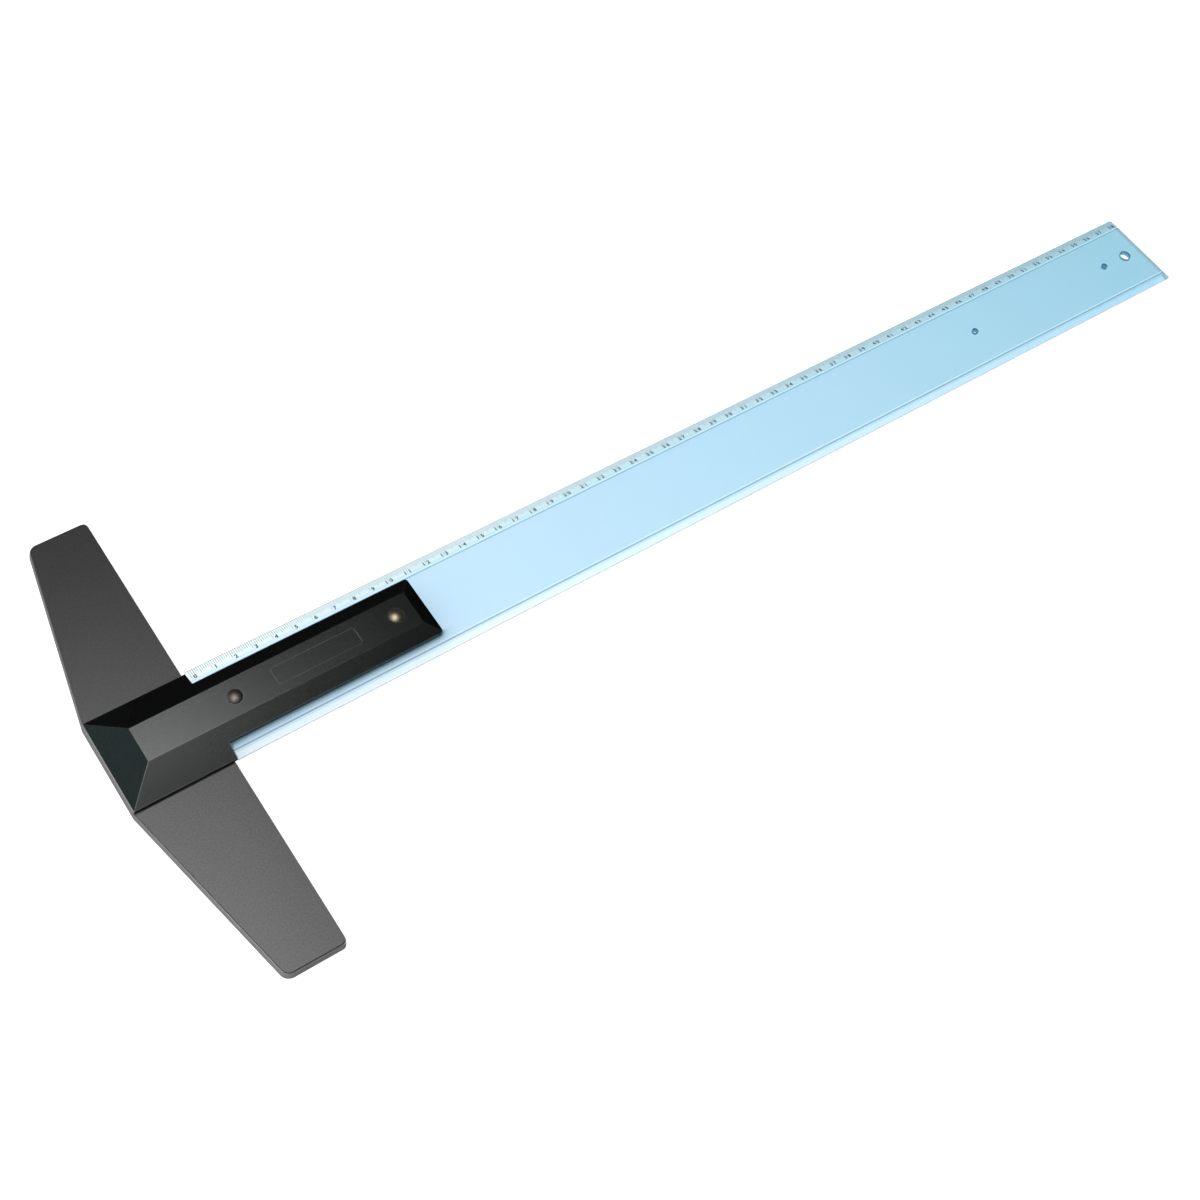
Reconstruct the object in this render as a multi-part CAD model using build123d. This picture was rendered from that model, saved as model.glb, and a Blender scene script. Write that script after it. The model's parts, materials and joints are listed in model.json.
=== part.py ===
"""Sixty-centimetre T square: a clear bevelled blade riveted and screwed into a dark moulded head.

Frame, in millimetres. x = 0 is the guide edge of the head, y = 0 is the centre line of the head and
z = 0 is the underside of the blade, which lies on the drawing board. +X runs along the blade, +Y points
to its graduated edge and +Z points up. The head hangs below z = 0 so that its guide edge bears on the
edge of the board, with its wing panels flush with the board's surface.
"""
import os

from build123d import *

# --- blade: flat clear strip, bevelled on top along three edges, with a narrower tongue inside the head
BLADE_LENGTH = 587.7            # guide edge to far end
BLADE_WIDTH = 49.2
BLADE_OFFSET_Y = 0.5            # the blade stands out a little further on its graduated side
BLADE_T = 3.0
BLADE_EDGE_T = 1.2              # thickness left at the two ruling edges
SCALE_BEVEL = 7.6               # width of the bevel that carries the scale
PLAIN_BEVEL = 3.8
END_BEVEL = 2.2                 # width of the bevel across the far end
CREASE_GROOVE = (0.8, 0.2)      # fine groove where a bevel meets the flat: width, depth
BLADE_SHOULDER_X = 1.35         # full width starts here, just outside the head
BLADE_CORNER_R = 0.3
TONGUE_WIDTH = 33.0
TONGUE_LENGTH = 40.0            # reach of the tongue behind the guide edge
TONGUE_CORNER_R = 3.0
TONGUE_REBATE = 0.4             # the tongue is thinned by this much from below
HANGING_HOLE_X = 574.3
HANGING_HOLE_R = 3.1
PIVOT_HOLE_XS = (457.2, 557.4)
PIVOT_HOLE_R = 1.7

# --- head: two tapering wings on either side of the blade
HEAD_LENGTH = 238.1
HEAD_ROOT_DEPTH = 47.35         # guide edge to back, beside the handle
HEAD_TIP_DEPTH = 28.1           # guide edge to back, at the wing tips
TIP_SLANT = 0.4                 # how far the tip's back corner falls short of its guide corner
TIP_BACK_R = 4.2
TIP_GUIDE_R = 2.8
PANEL_TOP_Z = 0.0
BASE_TOP_Z = -1.0
BASE_BOTTOM_Z = -5.0
BASE_FLARE = 0.6                # the base wall spreads this far outwards at the bottom
BASE_WALL = 2.2
BASE_PLATE_T = 1.6
BASE_BOTTOM_R = 0.5
OVERLAP = 0.2                   # raised features of the base start this far inside its plate
HEEL_LIP_T = 0.45               # upstand of the base along the back of the handle cover
PAD_FRONT_X = -0.5              # the pad under the tongue stops short of the guide edge
RIB_T = 1.6
RIB_CLEARANCE = 0.4             # ribs stop this far above the bottom rim
RIB_PITCH = 19.0
SPINE_RIB_X = -17.0

# --- wing panels: thin cover plates standing on a smaller step, which leaves a shadow gap below the rim
PANEL_INSET = 0.35
PANEL_LIP_T = 0.5
PANEL_STEP_INSET = 1.2
PANEL_GAP = 0.5                 # slot between a panel and the foot of the handle cover
PANEL_EDGE_R = 0.2
PEG_R = 1.5
PEG_LENGTH = 1.5
PEG_CLEARANCE = 0.1
PEG_PLACES = ((-21.0, 38.0), (-18.5, 72.0), (-15.0, 104.0))

# --- handle cover: a hip roof over the head that runs out along the blade as a narrower handle
ROOF_TOP_Z = 8.2
ROOF_TOP_HALF = 9.0             # half width of the flat top
ROOF_FOOT_HALF = 23.95          # half width at the foot of the slopes
ROOF_FOOT_Z = 1.8               # the cover stands upright below this height
HANDLE_HALF = 16.5              # half width of the part that lies over the blade
HANDLE_LENGTH = 109.6           # guide edge to handle toe
HEEL_RUN = 14.75                # plan length of the slope at the back of the head
TOE_RUN = 6.3                   # plan length of the slope at the toe
COVER_SHOULDER_X = 1.25         # the wide part of the cover ends just past the guide edge
COVER_NOSE_Z = 0.3              # past the guide edge the cover clears the board by this much
COVER_EDGE_R = 0.4
COVER_TOE_R = 1.8
COVER_WALL = 1.8
COVER_RIB_XS = (-12.0, 2.0, 30.0, 47.0, 63.0, 79.0)
COVER_RIB_T = 1.4
LABEL_RECESS = (42.0, 9.0, 0.3)  # blank field in the flat top: length, width, depth
LABEL_RECESS_X = 53.5
LABEL_RECESS_R = 1.5

# --- rivets: domed head in a shallow seat, shank through handle and blade, tail clinched on a washer
RIVET_XS = {"inner": 13.3, "outer": 94.2}
RIVET_SEAT_R = 3.7
RIVET_SEAT_DEPTH = 0.4
RIVET_HEAD_R = 3.3
RIVET_HEAD_H = 1.7
RIVET_RIM_SHARE = 0.35          # share of the head's height taken by its upright rim
RIVET_SHANK_R = 1.6
RIVET_TAIL_R = 2.6
RIVET_TAIL_H = 0.7
RIVET_BORE_R = 0.9
RIVET_BORE_DEPTH = 2.4
RIVET_HOLE_R = 1.7
RIVET_BOSS_R = 4.2
WASHER_R = 3.5
WASHER_T = 0.5
WASHER_POCKET_R = 4.0
WASHER_POCKET_DEPTH = 1.6

# --- screws: driven from below through base and tongue into blind bosses of the handle cover
SCREW_XS = (-30.0, -7.0)
SCREW_Y = 10.0
SCREW_HEAD_R = 2.8
SCREW_HEAD_H = 1.5
SCREW_SHANK_R = 1.45
SCREW_TOP_Z = 5.8
SCREW_TIP_H = 1.0
SCREW_SLOT = (3.2, 0.7, 0.8)    # one bar of the cross recess: length, width, depth
SCREW_SEAT_Z = -2.8
SCREW_PILOT_R = 1.5
SCREW_PILOT_TOP_Z = 6.4
SCREW_PASS_R = 1.65
SCREW_POCKET_R = 3.1
SCREW_BOSS_R = 4.6

FIT = 0.2                       # side clearance of the tongue, and of the pad below it, in the cover
HEAD_HALF = HEAD_LENGTH / 2
HEEL_X = HEEL_LIP_T - HEAD_ROOT_DEPTH
ROOF_SLOPE = (ROOF_TOP_Z - ROOF_FOOT_Z) / (ROOF_FOOT_HALF - ROOF_TOP_HALF)
HANDLE_EDGE_Z = ROOF_FOOT_Z + ROOF_SLOPE * (ROOF_FOOT_HALF - HANDLE_HALF)
SCREW_PLACES = [(x, side * SCREW_Y) for x in SCREW_XS for side in (-1, 1)]


# --- shared helpers
def slab(outline, low, high):
    """Vertical prism over a plan face, from height low to height high."""
    return extrude(Pos(0, 0, low) * outline, amount=high - low, dir=(0, 0, 1))


def polygon(points):
    """Flat face in plan with straight sides."""
    return make_face(Polyline(*points, close=True))


def disc(place, radius, low, high):
    """Upright cylinder between two heights."""
    return Pos(*place, low) * Cylinder(radius, high - low, align=(Align.CENTER, Align.CENTER, Align.MIN))


def bar(x_range, y_range, low, high):
    """Box given by its limits along x, y and z."""
    size = (x_range[1] - x_range[0], y_range[1] - y_range[0], high - low)
    return Pos(x_range[0], y_range[0], low) * Box(*size, align=(Align.MIN, Align.MIN, Align.MIN))


def turned(profile, place):
    """Solid of revolution about the vertical axis at place, from a profile of (radius, height) points."""
    face = Plane.XZ * polygon(profile)
    return Pos(*place, 0) * revolve(face, Axis.Z)


# --- blade
def bevelled_side(side, bevel):
    """Section points of one ruling edge, from the underside up over the bevel and its crease groove."""
    edge = BLADE_WIDTH / 2
    crease = edge - bevel
    reach = CREASE_GROOVE[0] / 2
    bevel_fall = (BLADE_T - BLADE_EDGE_T) / bevel
    outline = [(edge, 0), (edge, BLADE_EDGE_T), (crease + reach, BLADE_T - reach * bevel_fall),
               (crease, BLADE_T - CREASE_GROOVE[1]), (crease - reach, BLADE_T)]
    return [(BLADE_OFFSET_Y + side * y, z) for y, z in outline]


def blade():
    outline = bevelled_side(+1, SCALE_BEVEL) + bevelled_side(-1, PLAIN_BEVEL)[::-1]
    section = Plane.YZ * polygon(outline)
    body = Pos(BLADE_SHOULDER_X, 0, 0) * extrude(section, amount=BLADE_LENGTH - BLADE_SHOULDER_X)
    far_corners = body.edges().filter_by(Axis.Z).group_by(Axis.X)[-1]
    body = fillet(far_corners, BLADE_CORNER_R)
    end_waste = Plane.XZ * polygon([
        (BLADE_LENGTH, BLADE_EDGE_T), (BLADE_LENGTH, BLADE_T), (BLADE_LENGTH - END_BEVEL, BLADE_T)])
    body -= extrude(end_waste, amount=BLADE_WIDTH, both=True)

    tongue_half = TONGUE_WIDTH / 2
    tongue = bar((-TONGUE_LENGTH, BLADE_SHOULDER_X), (-tongue_half, tongue_half), TONGUE_REBATE, BLADE_T)
    back_corners = tongue.edges().filter_by(Axis.Z).group_by(Axis.X)[0]
    body += fillet(back_corners, TONGUE_CORNER_R)

    body -= disc((HANGING_HOLE_X, 0), HANGING_HOLE_R, 0, BLADE_T)
    for x in PIVOT_HOLE_XS:
        body -= disc((x, 0), PIVOT_HOLE_R, 0, BLADE_T)
    for x in RIVET_XS.values():
        body -= disc((x, 0), RIVET_HOLE_R, 0, BLADE_T)
        body -= disc((x, 0), WASHER_POCKET_R, 0, WASHER_POCKET_DEPTH)
    for place in SCREW_PLACES:
        body -= disc(place, SCREW_PASS_R, 0, BLADE_T)
    return body


# --- head
def head_outline(grow=0.0, guide_x=0.0):
    """Plan of the whole head. grow moves every side outwards except the guide edge, which sits at guide_x."""
    tip_y = HEAD_HALF + grow
    back_tip = (-HEAD_TIP_DEPTH - grow, tip_y - TIP_SLANT)
    back_root = (-HEAD_ROOT_DEPTH - grow, ROOF_FOOT_HALF)
    left = [(guide_x, tip_y), back_tip, back_root]
    right = [(x, -y) for x, y in reversed(left)]
    face = polygon(left + right)
    face = fillet(face.vertices().filter_by(lambda v: abs(v.X - back_tip[0]) < 1e-6), TIP_BACK_R + grow)
    return fillet(face.vertices().filter_by(lambda v: abs(v.X - guide_x) < 1e-6), TIP_GUIDE_R)


def inset(outline, distance):
    """Plan face drawn in on every side."""
    return offset(outline, amount=-distance, kind=Kind.INTERSECTION)


def peg_places(side):
    """Pegs under a wing panel, along the middle of the wing."""
    return [(x, side * y) for x, y in PEG_PLACES]


def base_pocket():
    """Hollow underside of the base, left standing around ribs and screw bosses."""
    reach = HEAD_HALF + BASE_FLARE
    ceiling = BASE_TOP_Z - BASE_PLATE_T
    hollow = slab(inset(head_outline(grow=BASE_FLARE / 2), BASE_WALL), BASE_BOTTOM_Z, ceiling)
    rib_bottom = BASE_BOTTOM_Z + RIB_CLEARANCE
    hollow -= bar((SPINE_RIB_X, SPINE_RIB_X + RIB_T), (-reach, reach), rib_bottom, ceiling)
    rib_count = int(HEAD_HALF / RIB_PITCH)
    for side in (-1, 1):
        for number in range(1, rib_count + 1):
            y = side * number * RIB_PITCH
            hollow -= bar((-HEAD_ROOT_DEPTH, 0), (y - RIB_T / 2, y + RIB_T / 2), rib_bottom, ceiling)
    for place in SCREW_PLACES:
        hollow -= disc(place, SCREW_BOSS_R, BASE_BOTTOM_Z, ceiling)
    return hollow


def head_base():
    """Lower moulding: flared tray with a flat upright guide edge and a raised pad for the blade's tongue."""
    overrun = 3.0
    flare = loft([Pos(0, 0, BASE_TOP_Z) * head_outline(guide_x=overrun),
                  Pos(0, 0, BASE_BOTTOM_Z) * head_outline(grow=BASE_FLARE, guide_x=overrun)])
    body = flare & slab(head_outline(grow=BASE_FLARE), BASE_BOTTOM_Z, BASE_TOP_Z)
    rim = body.faces().sort_by(Axis.Z)[0].edges()
    body = fillet(rim.filter_by(lambda e: e.center().X < -BASE_BOTTOM_R), BASE_BOTTOM_R)

    body -= base_pocket()
    pad_half = TONGUE_WIDTH / 2
    body += bar((-TONGUE_LENGTH, PAD_FRONT_X), (-pad_half, pad_half), BASE_TOP_Z - OVERLAP, TONGUE_REBATE)
    body += bar((-HEAD_ROOT_DEPTH, HEEL_X), (-ROOF_FOOT_HALF, ROOF_FOOT_HALF), BASE_TOP_Z - OVERLAP, ROOF_FOOT_Z)
    for place in SCREW_PLACES:
        body -= disc(place, SCREW_PASS_R, SCREW_SEAT_Z, TONGUE_REBATE)
        body -= disc(place, SCREW_POCKET_R, BASE_BOTTOM_Z, SCREW_SEAT_Z)
    for side in (-1, 1):
        for place in peg_places(side):
            body -= disc(place, PEG_R + PEG_CLEARANCE, BASE_BOTTOM_Z, BASE_TOP_Z)
    return body


def wing_panel(side):
    """Cover plate of one wing. side is +1 for the graduated side and -1 for the plain side."""
    outline = head_outline(grow=-PANEL_INSET)
    near = ROOF_FOOT_HALF + PANEL_GAP
    far = HEAD_HALF + BASE_FLARE
    keep = bar((-HEAD_ROOT_DEPTH, HEAD_ROOT_DEPTH), sorted((side * near, side * far)), BASE_TOP_Z, PANEL_TOP_Z)
    lip_bottom = PANEL_TOP_Z - PANEL_LIP_T
    plate = slab(outline, lip_bottom, PANEL_TOP_Z) & keep
    plate = fillet(plate.faces().sort_by(Axis.Z)[-1].edges(), PANEL_EDGE_R)
    step = slab(inset(outline, PANEL_STEP_INSET), BASE_TOP_Z, lip_bottom) & keep
    plate += step
    for place in peg_places(side):
        plate += disc(place, PEG_R, BASE_TOP_Z - PEG_LENGTH, BASE_TOP_Z)
    return plate


# --- handle cover
def roof_volume():
    """Space under the hip roof: its cross section along the blade, cut by its long section."""
    cross_section = Plane.YZ * polygon([
        (-ROOF_FOOT_HALF, BASE_TOP_Z), (ROOF_FOOT_HALF, BASE_TOP_Z), (ROOF_FOOT_HALF, ROOF_FOOT_Z),
        (ROOF_TOP_HALF, ROOF_TOP_Z), (-ROOF_TOP_HALF, ROOF_TOP_Z), (-ROOF_FOOT_HALF, ROOF_FOOT_Z)])
    long_section = Plane.XZ * polygon([
        (HEEL_X, BASE_TOP_Z), (HANDLE_LENGTH, BASE_TOP_Z),
        (HANDLE_LENGTH, HANDLE_EDGE_Z), (HANDLE_LENGTH - TOE_RUN, ROOF_TOP_Z),
        (HEEL_X + HEEL_RUN, ROOF_TOP_Z), (HEEL_X, ROOF_FOOT_Z)])
    ridge = Pos(HEEL_X, 0, 0) * extrude(cross_section, amount=HANDLE_LENGTH - HEEL_X)
    return ridge & extrude(long_section, amount=ROOF_FOOT_HALF, both=True)


def cover_plan():
    """Plan of the cover: wide over the head, narrow over the blade."""
    half = [(HEEL_X, ROOF_FOOT_HALF), (COVER_SHOULDER_X, ROOF_FOOT_HALF),
            (COVER_SHOULDER_X, HANDLE_HALF), (HANDLE_LENGTH, HANDLE_HALF)]
    return polygon(half + [(x, -y) for x, y in reversed(half)])


def cover_shell():
    """Outer form of the cover, with its ridges and hips slightly rounded."""
    body = roof_volume() & slab(cover_plan(), BASE_TOP_Z, ROOF_TOP_Z)
    toe_corners = body.edges().filter_by(Axis.Z).group_by(Axis.X)[-1]
    body = fillet(toe_corners, COVER_TOE_R)
    top_ridges = body.faces().sort_by(Axis.Z)[-1].edges()
    hips = body.edges().filter_by(is_hip)
    return fillet(top_ridges + hips, COVER_EDGE_R)


def is_hip(edge):
    """True for the sloping corner lines of the roof at heel and toe."""
    run = edge @ 1 - edge @ 0
    return abs(run.X) > 1 and abs(run.Y) > 1 and abs(run.Z) > 1


def cover_pocket():
    """Hollow under the cover, above the blade, broken up by ribs and by bosses for rivets and screws."""
    hollow = Pos(0, 0, -COVER_WALL) * roof_volume()
    hollow &= slab(inset(cover_plan(), COVER_WALL), BLADE_T, ROOF_TOP_Z)
    inner = HANDLE_HALF - COVER_WALL
    hollow &= bar((HEEL_X, HANDLE_LENGTH), (-inner, inner), BLADE_T, ROOF_TOP_Z)
    for x in COVER_RIB_XS:
        hollow -= bar((x, x + COVER_RIB_T), (-inner, inner), BLADE_T, ROOF_TOP_Z)
    for x in RIVET_XS.values():
        hollow -= disc((x, 0), RIVET_BOSS_R, BLADE_T, ROOF_TOP_Z)
    for place in SCREW_PLACES:
        hollow -= disc(place, SCREW_BOSS_R, BLADE_T, ROOF_TOP_Z)
    return hollow


def handle_cover():
    body = cover_shell()
    channel_half = TONGUE_WIDTH / 2 + FIT
    body -= bar((-TONGUE_LENGTH - FIT, HANDLE_LENGTH), (-channel_half, channel_half), BASE_TOP_Z, BLADE_T)
    body -= bar((0, HANDLE_LENGTH), (-ROOF_FOOT_HALF, ROOF_FOOT_HALF), BASE_TOP_Z, COVER_NOSE_Z)
    body -= cover_pocket()
    for x in RIVET_XS.values():
        body -= disc((x, 0), RIVET_SEAT_R, ROOF_TOP_Z - RIVET_SEAT_DEPTH, ROOF_TOP_Z)
        body -= disc((x, 0), RIVET_HOLE_R, BLADE_T, ROOF_TOP_Z)
    for place in SCREW_PLACES:
        body -= disc(place, SCREW_PILOT_R, BLADE_T, SCREW_PILOT_TOP_Z)
    length, width, depth = LABEL_RECESS
    field = Pos(LABEL_RECESS_X, 0) * RectangleRounded(length, width, LABEL_RECESS_R)
    return body - slab(field, ROOF_TOP_Z - depth, ROOF_TOP_Z)


# --- fasteners
def rivet(x):
    """Semi-tubular rivet. Its dome stands in the cover's seat and its tail grips the washer."""
    seat_z = ROOF_TOP_Z - RIVET_SEAT_DEPTH
    washer_bottom = WASHER_POCKET_DEPTH - WASHER_T
    tail_z = washer_bottom - RIVET_TAIL_H
    rim_z = seat_z + RIVET_RIM_SHARE * RIVET_HEAD_H
    crown_z = seat_z + RIVET_HEAD_H
    outline = Polyline((0, crown_z), (0, tail_z), (RIVET_TAIL_R, tail_z), (RIVET_TAIL_R, washer_bottom),
                       (RIVET_SHANK_R, washer_bottom), (RIVET_SHANK_R, seat_z), (RIVET_HEAD_R, seat_z),
                       (RIVET_HEAD_R, rim_z))
    dome = TangentArc((0, crown_z), (RIVET_HEAD_R, rim_z), tangent=(1, 0))
    body = Pos(x, 0, 0) * revolve(Plane.XZ * make_face(Curve() + [outline, dome]), Axis.Z)
    return body - disc((x, 0), RIVET_BORE_R, tail_z, tail_z + RIVET_BORE_DEPTH)


def washer(x):
    low = WASHER_POCKET_DEPTH - WASHER_T
    return disc((x, 0), WASHER_R, low, WASHER_POCKET_DEPTH) - disc((x, 0), RIVET_HOLE_R, low, WASHER_POCKET_DEPTH)


def screw(place):
    """Pan-headed self-tapping screw, head down, with a cross recess."""
    head_z = SCREW_SEAT_Z - SCREW_HEAD_H
    body = turned([(0, head_z), (SCREW_HEAD_R - SCREW_HEAD_H / 3, head_z), (SCREW_HEAD_R, head_z + SCREW_HEAD_H / 2),
                   (SCREW_HEAD_R, SCREW_SEAT_Z), (SCREW_SHANK_R, SCREW_SEAT_Z),
                   (SCREW_SHANK_R, SCREW_TOP_Z - SCREW_TIP_H), (0, SCREW_TOP_Z)], place)
    length, width, depth = SCREW_SLOT
    for size in ((length, width, depth), (width, length, depth)):
        body -= Pos(*place, head_z) * Box(*size, align=(Align.CENTER, Align.CENTER, Align.MIN))
    return body


def build():
    """Every separate piece, by node name."""
    pieces = {
        "head_base": head_base(),
        "graduated_side_wing_panel": wing_panel(+1),
        "plain_side_wing_panel": wing_panel(-1),
        "handle_cover": handle_cover(),
        "blade": blade(),
        "head_screws": Compound(children=[screw(place) for place in SCREW_PLACES]),
    }
    for name, x in RIVET_XS.items():
        pieces[name + "_rivet"] = rivet(x)
        pieces[name + "_rivet_washer"] = washer(x)
    return pieces


os.makedirs("parts", exist_ok=True)
for node, solid in build().items():
    export_step(solid, "parts/" + node + ".step")
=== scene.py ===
"""Looks of the T square: materials, printed scale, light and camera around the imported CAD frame."""
import json
import math

import bmesh
import bpy
from mathutils import Matrix, Vector


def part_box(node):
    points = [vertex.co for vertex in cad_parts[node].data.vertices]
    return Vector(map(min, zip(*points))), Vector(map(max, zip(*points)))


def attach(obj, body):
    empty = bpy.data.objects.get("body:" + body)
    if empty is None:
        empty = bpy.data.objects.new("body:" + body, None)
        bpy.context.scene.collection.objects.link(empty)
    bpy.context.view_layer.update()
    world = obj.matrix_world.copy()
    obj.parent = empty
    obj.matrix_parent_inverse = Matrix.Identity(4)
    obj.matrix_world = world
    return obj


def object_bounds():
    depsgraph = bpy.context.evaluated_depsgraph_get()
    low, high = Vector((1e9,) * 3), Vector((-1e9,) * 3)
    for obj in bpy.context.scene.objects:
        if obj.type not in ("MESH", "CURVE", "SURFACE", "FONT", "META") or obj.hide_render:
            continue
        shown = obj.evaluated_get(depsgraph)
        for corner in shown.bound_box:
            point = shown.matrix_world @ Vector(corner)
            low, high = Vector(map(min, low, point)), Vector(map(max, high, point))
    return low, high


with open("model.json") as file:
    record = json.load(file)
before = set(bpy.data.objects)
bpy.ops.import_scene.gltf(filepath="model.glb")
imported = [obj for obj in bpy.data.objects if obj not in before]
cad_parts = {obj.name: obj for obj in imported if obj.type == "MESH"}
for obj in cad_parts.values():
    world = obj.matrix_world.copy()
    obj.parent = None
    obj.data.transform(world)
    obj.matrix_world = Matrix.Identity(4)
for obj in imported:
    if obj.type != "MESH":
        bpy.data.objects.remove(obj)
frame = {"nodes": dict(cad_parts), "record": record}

cad_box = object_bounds()
blade_low, blade_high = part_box("blade")
nodes = frame["nodes"]
MM = 0.001

# --- form of the blade, in millimetres
BLADE_EDGE_T = 1.2              # thickness left at the ruling edges
BEVEL_WIDTH = 7.6               # bevel that carries the scale
PLAIN_BEVEL_WIDTH = 3.8
END_BAND_WIDTH = 3.4            # painted band along the far end, standing in for the end wall seen through the top face; a little wider than the bevel there

# --- printed scale on the bevel of the blade, in millimetres
SCALE_ZERO_X = 2.97             # the zero line, measured from the guide edge
SCALE_CENTIMETRES = 58
TICK_START = 0.05               # the lines begin this far in from the edge
TICK_WIDTH = 0.15
TICK_LENGTHS = {1: 3.0, 5: 3.9, 10: 4.8}
NUMBER_HEIGHT = 2.2
NUMBER_FROM_EDGE = 4.5          # edge of the blade to the middle of the numbers
DIGIT_PITCH = 2.5
DIGIT_WEIGHT = 0.11             # how far each stroke of a digit is thickened on either side
DIGIT_SHARE = 0.73              # height of a digit, as a share of the font's size
LONE_DIGIT_SHIFT = 1.6          # a lone digit stands this far from its line
INK_T = 0.01

# --- painted lines and painted shade on the blade, with other widths, in millimetres
FADE = 0.3                      # width over which one tint passes into the next
INNER_FADE = (1.2, 3.0)         # from the crease: where the scale bevel's inner tint passes into the outer
# painted shade line on each crease, with a painted highlight line beside it
SHADE_LINE_HALF = 0.22
HIGHLIGHT_LINE_HALF = 0.15
HIGHLIGHT_LINE_OFFSET = 0.85        # the painted highlight line runs beside the painted shade line, towards +Y
# painted shade line at the inner edge of the far-end band
END_SHADE_LINE_HALF = 0.25
PAINTED_SHADE_REACH = 9.0             # how far the painted shade at the handle's foot reaches over the blade
PAINTED_SHADE_Y = (-14.0, -15.0)      # painted shade only on the plain side of the handle
BORE_RIM_DEPTH = (1.3, 0.7)     # below the top: where the painted shade of a bore's wall passes into the darker painted shade at its rim

# --- colours of the clear blade, as the share of light that gets through, with painted light falloff from near to far
# near to far is mostly painted light falloff, with a painted paler reflection near the head; a little is the
# longer path through the acrylic
FLAT_TINT = {"near": (0.565, 0.725, 0.86, 1), "far": (0.33, 0.565, 0.675, 1)}
SCALE_TINT = {"near": (0.95, 1.0, 1.0, 1), "far": (0.35, 0.54, 0.61, 1)}
SCALE_INNER_TINT = {"near": (0.68, 0.87, 0.95, 1), "far": (0.32, 0.58, 0.70, 1)}
PLAIN_TINT = {"near": (0.82, 0.92, 0.96, 1), "far": (0.42, 0.67, 0.84, 1)}
# painted band at the far end: the end wall as seen through the top face
END_REFRACTION_TINT = (0.34, 0.47, 0.57, 1)
# painted shade line (dark) and painted highlight line (light) at the creases
CREASE_SHADE_AND_HIGHLIGHT_TINT = {"dark": (0.20, 0.32, 0.40, 1), "light": (0.80, 0.95, 1.0, 1)}
# painted shade beside the handle's foot, from ambient occlusion
PAINTED_SHADE_TINT = (0.01, 0.03, 0.035, 1)
SHADOW_TINT = (0.93, 0.96, 0.98, 1)
DEPTH_TINT = (0.2, 0.75, 0.90, 1)
DEPTH_DENSITY = 30.0
CUT_EDGE = (0.50, 0.52, 0.60, 1)    # colour of the frosted upright edges
# painted shade in the bores: deep blue walls, darkest at the rim
BORE_RIM_SHADE = (0.01, 0.08, 0.16, 1)
BORE_WALL_SHADE = (0.05, 0.16, 0.22, 1)
ACRYLIC_IOR = 1.49

# --- camera, in metres and degrees
CAMERA_TARGET = Vector((0.1835, -0.0364, 0.0))
CAMERA_AZIMUTH = -46.52
CAMERA_ELEVATION = 57.39
CAMERA_ROLL = 13.89
CAMERA_DISTANCE = 0.7834
CAMERA_LENS = 50.06
SENSOR_WIDTH = 36.0
CLIP_START = 0.01

# --- studio, in metres
FLOOR_SIZE = 12.0
FLOOR_GAP = 0.0002              # the floor lies this far below the head
FLOOR_GLOW = {"strength": 1.34, "share": 0.65}
FLOOR_UNMIRRORED = 0.9          # share of the floor that reflections on the object leave out
FILL = {"horizon": 1.1, "zenith": 0.6, "left": 6.0}     # the last multiplies the light from the left
ROOM = {"colour": (0.52, 0.95, 1.0, 1), "strength": 0.37}
LAMP_COLOUR = (0.99, 1.0, 0.99)
SHEEN_BOX = {"size": (0.56, 0.82), "place": (-0.095, 0.11, 1.0), "power": 9.5}
KEY_BOX = {"size": (0.5, 0.5), "place": (-0.20, 0.10, 0.75), "power": 2.2}

BLACK = (0, 0, 0, 1)
WHITE = (1, 1, 1, 1)


# --- shader helpers
def node(tree, kind, inputs=None, **settings):
    """Adds a shader node. An input's value is a plain value or another node's output socket."""
    made = tree.nodes.new(kind)
    for name, value in settings.items():
        setattr(made, name, value)
    for name, value in (inputs or {}).items():
        connect(tree, made.inputs[name], value)
    return made


def connect(tree, socket, value):
    if isinstance(value, bpy.types.NodeSocket):
        tree.links.new(value, socket)
    else:
        socket.default_value = value


def new_material(name):
    material = bpy.data.materials.new(name)
    material.use_nodes = True
    material.node_tree.nodes.clear()
    return material, material.node_tree


def noise(tree, period_mm, detail=2.0, roughness=0.5):
    """Noise of about that period, in the object's own coordinates. Returns a value around 0.5."""
    place = node(tree, "ShaderNodeTexCoord").outputs["Object"]
    scale = 1 / (period_mm * MM)
    inputs = {"Vector": place, "Scale": scale, "Detail": detail, "Roughness": roughness}
    return node(tree, "ShaderNodeTexNoise", inputs).outputs["Fac"]


def math_node(tree, operation, first, second=0.0, clamp=False):
    made = node(tree, "ShaderNodeMath", {0: first, 1: second}, operation=operation, use_clamp=clamp)
    return made.outputs[0]


def remap(tree, value, low, high, new_low, new_high):
    inputs = {"Value": value, "From Min": low, "From Max": high, "To Min": new_low, "To Max": new_high}
    return node(tree, "ShaderNodeMapRange", inputs).outputs["Result"]


def mix_colour(tree, share, first, second):
    mixer = node(tree, "ShaderNodeMix", data_type="RGBA", blend_type="MIX")
    for index, value in ((0, share), (6, first), (7, second)):
        connect(tree, mixer.inputs[index], value)
    return mixer.outputs[2]


def mix_shader(tree, share, first, second):
    return node(tree, "ShaderNodeMixShader", {0: share, 1: first, 2: second}).outputs[0]


def bump(tree, height, strength, distance_mm):
    """Fine relief from a noise. Returns the changed normal."""
    inputs = {"Strength": strength, "Distance": distance_mm * MM, "Height": height}
    return node(tree, "ShaderNodeBump", inputs).outputs["Normal"]


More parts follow.
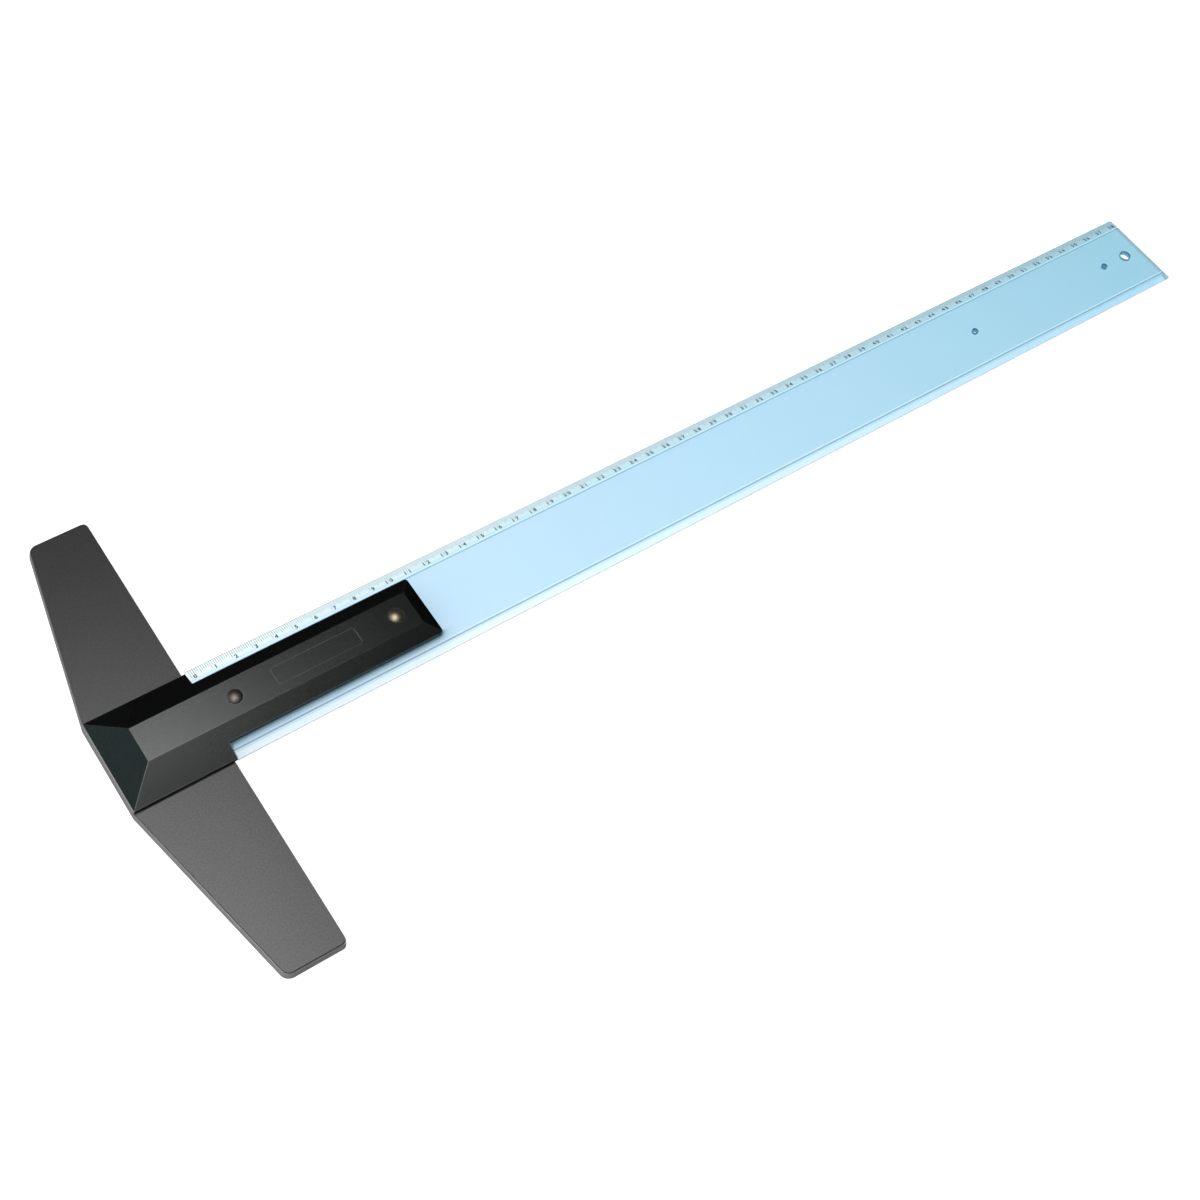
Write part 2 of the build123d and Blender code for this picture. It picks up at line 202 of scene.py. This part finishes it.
def edge_mask(tree, radius_mm, sharp):
    """1 on convex edges, 0 on flats, from how much a small bevel would turn the surface."""
    rounded = node(tree, "ShaderNodeBevel", {"Radius": radius_mm * MM}, samples=6).outputs["Normal"]
    straight = node(tree, "ShaderNodeNewGeometry").outputs["Normal"]
    facing = node(tree, "ShaderNodeVectorMath", {0: rounded, 1: straight}, operation="DOT_PRODUCT")
    return remap(tree, facing.outputs["Value"], 0.998, sharp, 0.0, 1.0)


def upward(tree):
    """Vertical part of the surface normal, which always faces the viewer."""
    normal = node(tree, "ShaderNodeNewGeometry").outputs["Normal"]
    return node(tree, "ShaderNodeSeparateXYZ", {0: normal}).outputs["Z"]


def finish_surface(tree, surface, volume=None):
    out = node(tree, "ShaderNodeOutputMaterial", {"Surface": surface})
    if volume is not None:
        tree.links.new(volume, out.inputs["Volume"])


def grey(value, warm=0.0):
    """Near-neutral linear colour. A positive warm leans to red, a negative one to green and blue."""
    return (value * (1 + warm), value, value * (1 - warm), 1.0)


# --- plastics of the head
def moulded_plastic(name, shade, warm=0.0, roughness=0.34, specular=0.5, edge_highlight=0.5, ridge=0.9, glint=WHITE):
    """Dark satin plastic with a fine spark-eroded grain and paler edges, a painted highlight along the
    ridges.
    """
    material, tree = new_material(name)
    mottle = noise(tree, period_mm=45.0)
    colour = mix_colour(tree, mottle, grey(shade * 0.9, warm), grey(shade * 1.1, warm))
    edges = edge_mask(tree, radius_mm=0.45, sharp=ridge)
    # paler edges: painted highlight along the ridges
    colour = mix_colour(tree, math_node(tree, "MULTIPLY", edges, edge_highlight), colour, grey(shade + 0.05))
    speckle = noise(tree, period_mm=0.9, roughness=0.7)
    shine = remap(tree, speckle, 0.3, 0.7, specular * 0.86, specular * 1.14)
    grain = noise(tree, period_mm=0.4, detail=3.0, roughness=0.6)
    rough = remap(tree, mottle, 0.3, 0.7, roughness - 0.01, roughness + 0.01)
    surface = node(tree, "ShaderNodeBsdfPrincipled", {
        "Base Color": colour, "Roughness": rough, "Specular IOR Level": shine, "Specular Tint": glint,
        "Normal": bump(tree, grain, strength=0.18, distance_mm=0.03)})
    finish_surface(tree, surface.outputs[0])
    return material


def base_plastic():
    """Grey lower moulding, seen only as a pale rim round the head."""
    return moulded_plastic("base_plastic", 0.10, specular=0.7, edge_highlight=0.1)


def panel_plastic(node_name):
    return moulded_plastic(node_name + "_plastic", 0.006, warm=0.01, roughness=0.36, specular=0.6)


def handle_plastic():
    """Near-black and slightly glossier than the wings, with a greenish sheen and painted highlight lines on
    the ridges.
    """
    return moulded_plastic("handle_plastic", 0.0005, warm=-0.02, roughness=0.27, specular=0.70,
                           edge_highlight=0.9, ridge=0.97, glint=(0.94, 1.0, 0.98, 1))


# --- acrylic of the blade
def place_on_blade(tree):
    """Distance along the blade, across it and above its underside in millimetres, for the shader."""
    place = node(tree, "ShaderNodeTexCoord").outputs["Object"]
    axes = node(tree, "ShaderNodeSeparateXYZ", {0: place})
    return [math_node(tree, "DIVIDE", axes.outputs[axis], MM) for axis in ("X", "Y", "Z")]


def stripe(tree, value, centre, half_width, softness=0.25):
    """1 within half_width of centre, fading to 0 over the softness."""
    off = math_node(tree, "ABSOLUTE", math_node(tree, "SUBTRACT", value, centre))
    return remap(tree, off, half_width, half_width + softness, 1.0, 0.0)


def ring(tree, along, across, centre, radius, width):
    """1 on a ring just outside a hole's rim."""
    dx = math_node(tree, "SUBTRACT", along, centre.x / MM)
    dy = math_node(tree, "SUBTRACT", across, centre.y / MM)
    squares = [math_node(tree, "MULTIPLY", d, d) for d in (dx, dy)]
    reach = math_node(tree, "SQRT", math_node(tree, "ADD", *squares))
    return stripe(tree, reach, radius + width / 2, width / 2, 0.15)


def top_face(tree):
    """1 on the blade's upper faces, 0 on its underside, also where that is seen from inside."""
    backfacing = node(tree, "ShaderNodeNewGeometry").outputs["Backfacing"]
    facing_up = remap(tree, upward(tree), 0.3, 0.5, 0.0, 1.0)
    return math_node(tree, "SUBTRACT", facing_up, backfacing, clamp=True)


def sheet_colour(tree, along, across, scale_crease, plain_crease, end_crease):
    """Tint of each face, from near the head to far out on the blade; the change along the blade is mostly
    painted light falloff.
    """
    share = remap(tree, along, 100.0, 600.0, 0.0, 1.0)
    quick_share = math_node(tree, "POWER", remap(tree, along, 0.0, 600.0, 0.0, 1.0), 0.5)
    inner_start, outer_start = (scale_crease + distance for distance in INNER_FADE)
    on_inner = remap(tree, across, scale_crease, scale_crease + FADE, 0.0, 1.0)
    on_scale = remap(tree, across, inner_start, outer_start, 0.0, 1.0)
    on_plain = remap(tree, across, plain_crease, plain_crease - FADE, 0.0, 1.0)
    on_end = remap(tree, along, end_crease, end_crease + FADE, 0.0, 1.0)
    # painted light falloff along the blade
    colour = mix_colour(tree, share, FLAT_TINT["near"], FLAT_TINT["far"])
    bevels = ((on_inner, quick_share, SCALE_INNER_TINT), (on_scale, quick_share, SCALE_TINT),
              (on_plain, share, PLAIN_TINT))
    for mask, how_far, tint in bevels:
        colour = mix_colour(tree, mask, colour, mix_colour(tree, how_far, tint["near"], tint["far"]))
    # painted band at the far end, standing in for the end wall seen through the top face
    return mix_colour(tree, on_end, colour, END_REFRACTION_TINT)


def contact_mask(tree, across):
    """Painted shade: 1 at the handle's foot on its plain side, fading out over the blade."""
    openness = node(tree, "ShaderNodeAmbientOcclusion", {"Distance": PAINTED_SHADE_REACH * MM}, samples=8)
    shaded = remap(tree, openness.outputs["AO"], 0.99, 0.68, 0.0, 1.0)
    return math_node(tree, "MULTIPLY", shaded, remap(tree, across, *PAINTED_SHADE_Y, 0.0, 1.0))


def blade_tint(tree):
    """Colour of the sheet, paler on the thin bevels, with painted light: falloff far out, crease lines, end
    band, shade by the handle.
    """
    along, across, _ = place_on_blade(tree)
    scale_crease = blade_high.y / MM - BEVEL_WIDTH
    plain_crease = blade_low.y / MM + PLAIN_BEVEL_WIDTH
    end_crease = blade_high.x / MM - END_BAND_WIDTH
    on_top = top_face(tree)
    colour = sheet_colour(tree, along, across, scale_crease, plain_crease, end_crease)
    # painted shade line at the inner edge of the far-end band
    lines = [(along, end_crease, END_SHADE_LINE_HALF, "dark")]
    # painted shade line on each crease and painted highlight line beside it
    for crease in (scale_crease, plain_crease):
        lines.append((across, crease, SHADE_LINE_HALF, "dark"))
        lines.append((across, crease + HIGHLIGHT_LINE_OFFSET, HIGHLIGHT_LINE_HALF, "light"))
    for value, centre, half_width, shade in lines:
        mask = math_node(tree, "MULTIPLY", stripe(tree, value, centre, half_width), on_top)
        colour = mix_colour(tree, mask, colour, CREASE_SHADE_AND_HIGHLIGHT_TINT[shade])
    # painted shade on the blade beside the handle's foot
    shaded = math_node(tree, "MULTIPLY", contact_mask(tree, across), on_top)
    return mix_colour(tree, shaded, colour, PAINTED_SHADE_TINT)


def cut_walls(tree):
    """Mask of the blade's upright walls, and their colour: pale outside, deep blue painted shade in the
    bores.
    """
    along, across, height = place_on_blade(tree)
    upright = remap(tree, math_node(tree, "ABSOLUTE", upward(tree)), 0.5, 0.3, 0.0, 1.0)
    top = (blade_high.z - blade_low.z) / MM
    rim_start, rim_end = (top - depth for depth in BORE_RIM_DEPTH)
    # painted shade in the bores, darkest at the rim
    bore = mix_colour(tree, remap(tree, height, rim_start, rim_end, 0.0, 1.0), BORE_WALL_SHADE, BORE_RIM_SHADE)
    colour = CUT_EDGE
    for mount in frame["record"]["mounts"]:
        if mount["kind"] == "bore":
            wall = ring(tree, along, across, Vector(mount["pos_m"]), mount["dims"]["r_mm"], 0.2)
            colour = mix_colour(tree, wall, colour, bore)
    return upright, colour


def clear_acrylic(name):
    """Polished pale-blue acrylic with frosted cut edges. Lamps and bounced light shine through it."""
    material, tree = new_material(name)
    scuffs = remap(tree, noise(tree, period_mm=40.0, detail=4.0), 0.4, 0.75, 0.01, 0.05)
    ripple = bump(tree, noise(tree, period_mm=15.0), strength=0.01, distance_mm=0.05)
    glass = node(tree, "ShaderNodeBsdfPrincipled", {
        "Base Color": blade_tint(tree), "Roughness": scuffs, "IOR": ACRYLIC_IOR, "Transmission Weight": 1.0,
        "Normal": ripple})
    upright, wall_colour = cut_walls(tree)
    frosted = node(tree, "ShaderNodeBsdfDiffuse", {"Color": wall_colour})
    frosting = math_node(tree, "MULTIPLY", upright, 0.85)
    solid = mix_shader(tree, frosting, glass.outputs[0], frosted.outputs[0])
    clear = node(tree, "ShaderNodeBsdfTransparent", {"Color": SHADOW_TINT})
    ray = node(tree, "ShaderNodeLightPath")
    passing = math_node(tree, "MAXIMUM", ray.outputs["Is Shadow Ray"], ray.outputs["Is Diffuse Ray"])
    depth = node(tree, "ShaderNodeVolumeAbsorption", {"Color": DEPTH_TINT, "Density": DEPTH_DENSITY})
    finish_surface(tree, mix_shader(tree, passing, solid, clear.outputs[0]), depth.outputs[0])
    return material


# --- metal and ink
def metal(name, colour, roughness, tarnish):
    """Plain metal with fine turning marks and a patchy dull film."""
    material, tree = new_material(name)
    film = remap(tree, noise(tree, period_mm=1.6, detail=4.0), 0.35, 0.7, 0.0, tarnish)
    dulled = mix_colour(tree, film, (*colour, 1), tuple(c * 0.35 for c in colour) + (1,))
    rough = remap(tree, noise(tree, period_mm=0.5), 0.3, 0.7, roughness - 0.06, roughness + 0.1)
    marks = bump(tree, noise(tree, period_mm=0.25, detail=3.0), strength=0.15, distance_mm=0.02)
    surface = node(tree, "ShaderNodeBsdfPrincipled", {
        "Base Color": dulled, "Metallic": 1.0, "Roughness": rough, "Normal": marks})
    finish_surface(tree, surface.outputs[0])
    return material


# lit and shaded copies of one brass, painted light: darker for the inner rivet, paler for the outer
def dull_brass():
    return metal("dull_brass", (0.135, 0.118, 0.105), roughness=0.45, tarnish=0.4)


def bright_brass():
    return metal("bright_brass", (0.30, 0.24, 0.17), roughness=0.40, tarnish=0.4)


def steel(node_name):
    return metal(node_name + "_steel", (0.62, 0.62, 0.60), roughness=0.3, tarnish=0.3)


def printing_ink(name, colour):
    """Thin matt ink, slightly uneven in strength."""
    material, tree = new_material(name)
    uneven = remap(tree, noise(tree, period_mm=0.8, detail=3.0), 0.3, 0.7, 0.0, 1.0)
    faded = tuple(0.8 * c + 0.05 for c in colour) + (1,)
    surface = node(tree, "ShaderNodeBsdfPrincipled", {
        "Base Color": mix_colour(tree, uneven, (*colour, 1), faded), "Roughness": 0.6,
        "Specular IOR Level": 0.2})
    finish_surface(tree, surface.outputs[0])
    return material


def paint(name, material):
    """Gives a CAD node its material in every slot."""
    for slot in nodes[name].material_slots:
        slot.material = material


def paint_nodes():
    paint("head_base", base_plastic())
    for name in ("graduated_side_wing_panel", "plain_side_wing_panel"):
        paint(name, panel_plastic(name))
    paint("handle_cover", handle_plastic())
    paint("blade", clear_acrylic("blue_acrylic"))
    paint("inner_rivet", dull_brass())
    paint("outer_rivet", bright_brass())
    for name in ("inner_rivet_washer", "outer_rivet_washer", "head_screws"):
        paint(name, steel(name))


# --- printed scale
def link(thing):
    bpy.context.scene.collection.objects.link(thing)
    return thing


def object_from(mesh, name):
    """Turns a finished bmesh into an object of the scene."""
    data = bpy.data.meshes.new(name)
    mesh.to_mesh(data)
    mesh.free()
    return link(bpy.data.objects.new(name, data))


def on_bevel(x, from_edge, lift=0.0):
    """Point on the graduated bevel, from millimetres along the blade and in from its edge."""
    rise = (blade_high.z - blade_low.z) / MM - BLADE_EDGE_T
    height = BLADE_EDGE_T + rise * from_edge / BEVEL_WIDTH + lift
    return Vector((x * MM, blade_high.y - from_edge * MM, blade_low.z + height * MM))


def bevel_matrix(x, from_edge):
    """Frame lying on the bevel: its x along the blade, its y towards the edge."""
    along = Vector((1, 0, 0))
    towards_edge = (on_bevel(0, 0) - on_bevel(0, 1)).normalized()
    turn = Matrix((along, towards_edge, along.cross(towards_edge))).transposed().to_4x4()
    return Matrix.Translation(on_bevel(x, from_edge)) @ turn


def add_bar(mesh, x, start, end, width):
    """One printed line across the bevel, from start to end in from the edge."""
    half = width / 2
    layers = []
    for lift in (0.0, INK_T):
        corners = ((x - half, start), (x + half, start), (x + half, end), (x - half, end))
        layers.append([mesh.verts.new(on_bevel(px, depth, lift)) for px, depth in corners])
    lower, upper = layers
    mesh.faces.new(lower)
    mesh.faces.new(reversed(upper))
    for i in range(4):
        j = (i + 1) % 4
        mesh.faces.new((lower[j], lower[i], upper[i], upper[j]))


def scale_ticks():
    """Every millimetre line, longer at each fifth and tenth."""
    mesh = bmesh.new()
    for millimetre in range(SCALE_CENTIMETRES * 10 + 1):
        step = max(s for s in TICK_LENGTHS if millimetre % s == 0)
        add_bar(mesh, SCALE_ZERO_X + millimetre, TICK_START, TICK_LENGTHS[step], TICK_WIDTH)
    bmesh.ops.recalc_face_normals(mesh, faces=mesh.faces)
    return object_from(mesh, "scale_ticks")


def bounds_of(data):
    columns = list(zip(*(v.co for v in data.vertices)))
    return [tuple(map(min, columns)), tuple(map(max, columns))]


def digit(character):
    """Mesh of one printed digit, centred, NUMBER_HEIGHT tall."""
    curve = bpy.data.curves.new("digit", "FONT")
    curve.body = character
    curve.size = NUMBER_HEIGHT * MM / DIGIT_SHARE
    curve.offset = DIGIT_WEIGHT * MM
    curve.extrude = INK_T * MM / 2
    curve.resolution_u = 3
    curve.align_x = "CENTER"
    curve.align_y = "CENTER"
    text = link(bpy.data.objects.new("digit", curve))
    bpy.context.view_layer.update()
    data = bpy.data.meshes.new_from_object(text.evaluated_get(bpy.context.evaluated_depsgraph_get()))
    bpy.data.objects.remove(text)
    middle = sum((Vector(corner) for corner in bounds_of(data)), Vector()) / 2
    data.transform(Matrix.Translation(-middle))
    return data


def scale_numbers():
    """Centimetre numbers: a lone digit stands just right of its line, two digits on either side of it."""
    shapes = {c: digit(c) for c in "0123456789"}
    mesh = bmesh.new()
    for centimetre in range(SCALE_CENTIMETRES + 1):
        line_x = SCALE_ZERO_X + 10 * centimetre
        text = str(centimetre)
        shift = LONE_DIGIT_SHIFT if len(text) == 1 else -DIGIT_PITCH / 2
        for place, character in enumerate(text):
            piece = shapes[character].copy()
            piece.transform(bevel_matrix(line_x + shift + DIGIT_PITCH * place, NUMBER_FROM_EDGE))
            mesh.from_mesh(piece)
            bpy.data.meshes.remove(piece)
    bmesh.ops.translate(mesh, verts=mesh.verts, vec=(0, 0, INK_T * MM))
    return object_from(mesh, "scale_numbers")


def print_scale():
    """Lines and numbers of the scale. They are ink on the blade, so they ride with it."""
    ink = printing_ink("scale_ink", (0.012, 0.035, 0.045))
    for piece in (scale_ticks(), scale_numbers()):
        piece.data.materials.append(ink)
        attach(piece, "root")


# --- stage
def pale_floor(name):
    """White paper on a light table: the camera sees it almost burnt out, directly and through the blade."""
    material, tree = new_material(name)
    shade = remap(tree, noise(tree, period_mm=90.0), 0.3, 0.7, 0.90, 0.93)
    colour = node(tree, "ShaderNodeCombineColor", {0: shade, 1: shade, 2: shade}).outputs[0]
    paper = node(tree, "ShaderNodeBsdfDiffuse", {"Color": colour})
    glow = node(tree, "ShaderNodeEmission", {"Color": WHITE, "Strength": FLOOR_GLOW["strength"]})
    black = node(tree, "ShaderNodeBsdfDiffuse", {"Color": BLACK})
    ray = node(tree, "ShaderNodeLightPath").outputs
    seen = math_node(tree, "MAXIMUM", ray["Is Camera Ray"], ray["Is Transmission Ray"])
    glowing = math_node(tree, "MULTIPLY", seen, FLOOR_GLOW["share"])
    lit = mix_shader(tree, glowing, paper.outputs[0], glow.outputs[0])
    mirrored = math_node(tree, "SUBTRACT", ray["Is Glossy Ray"], ray["Is Transmission Ray"], clamp=True)
    hidden = math_node(tree, "MULTIPLY", mirrored, FLOOR_UNMIRRORED)
    finish_surface(tree, mix_shader(tree, hidden, lit, black.outputs[0]))
    return material


def add_floor():
    mesh = bmesh.new()
    bmesh.ops.create_grid(mesh, x_segments=1, y_segments=1, size=FLOOR_SIZE / 2)
    floor = object_from(mesh, "floor")
    floor.location = (0, 0, cad_box[0].z - FLOOR_GAP)
    floor.data.materials.append(pale_floor("floor_paper"))


def background(tree, colour, strength):
    return node(tree, "ShaderNodeBackground", {"Color": colour, "Strength": strength}).outputs[0]


def add_world():
    """White for the camera, a fill strongest at the left horizon, and a mostly dark room in reflections."""
    world = bpy.data.worlds.new("studio")
    bpy.context.scene.world = world
    world.use_nodes = True
    tree = world.node_tree
    tree.nodes.clear()
    ray = node(tree, "ShaderNodeLightPath").outputs
    place = node(tree, "ShaderNodeTexCoord").outputs["Generated"]
    way = node(tree, "ShaderNodeSeparateXYZ", {0: place}).outputs
    strength = remap(tree, way["Z"], 0.0, 1.0, FILL["horizon"], FILL["zenith"])
    sideways = remap(tree, way["X"], -0.3, -1.0, 1.0, FILL["left"])
    fill = background(tree, WHITE, math_node(tree, "MULTIPLY", strength, sideways))
    room = background(tree, ROOM["colour"], remap(tree, way["X"], -0.1, -0.7, 0.0, ROOM["strength"]))
    around = mix_shader(tree, ray["Is Glossy Ray"], fill, room)
    both = mix_shader(tree, ray["Is Camera Ray"], around, background(tree, WHITE, 1.0))
    node(tree, "ShaderNodeOutputWorld", {"Surface": both})


def add_box(name, size, place, power):
    lamp = bpy.data.lights.new(name, "AREA")
    lamp.shape = "RECTANGLE"
    lamp.size, lamp.size_y = size
    lamp.energy = power
    lamp.color = LAMP_COLOUR
    box = link(bpy.data.objects.new(name, lamp))
    box.location = place
    box.visible_camera = False
    box.visible_transmission = False
    return box


def add_lights():
    """One box that only shows as a sheen on the surfaces, and one that only lights the matt ones."""
    add_box("sheen_box", **SHEEN_BOX).visible_diffuse = False
    add_box("key_box", **KEY_BOX).visible_glossy = False


def add_camera():
    lens = bpy.data.cameras.new("camera")
    lens.lens = CAMERA_LENS
    lens.sensor_width = SENSOR_WIDTH
    lens.clip_start = CLIP_START
    camera = link(bpy.data.objects.new("camera", lens))
    azimuth, elevation = math.radians(CAMERA_AZIMUTH), math.radians(CAMERA_ELEVATION)
    back = Vector((math.sin(azimuth) * math.cos(elevation), -math.cos(azimuth) * math.cos(elevation),
                   math.sin(elevation)))
    aim = (-back).to_track_quat("-Z", "Y").to_matrix().to_4x4()
    roll = Matrix.Rotation(math.radians(CAMERA_ROLL), 4, "Z")
    camera.matrix_world = Matrix.Translation(CAMERA_TARGET + back * CAMERA_DISTANCE) @ aim @ roll
    bpy.context.scene.camera = camera


paint_nodes()
print_scale()
add_floor()
add_world()
add_lights()
add_camera()
bpy.context.scene.view_settings.view_transform = "Standard"
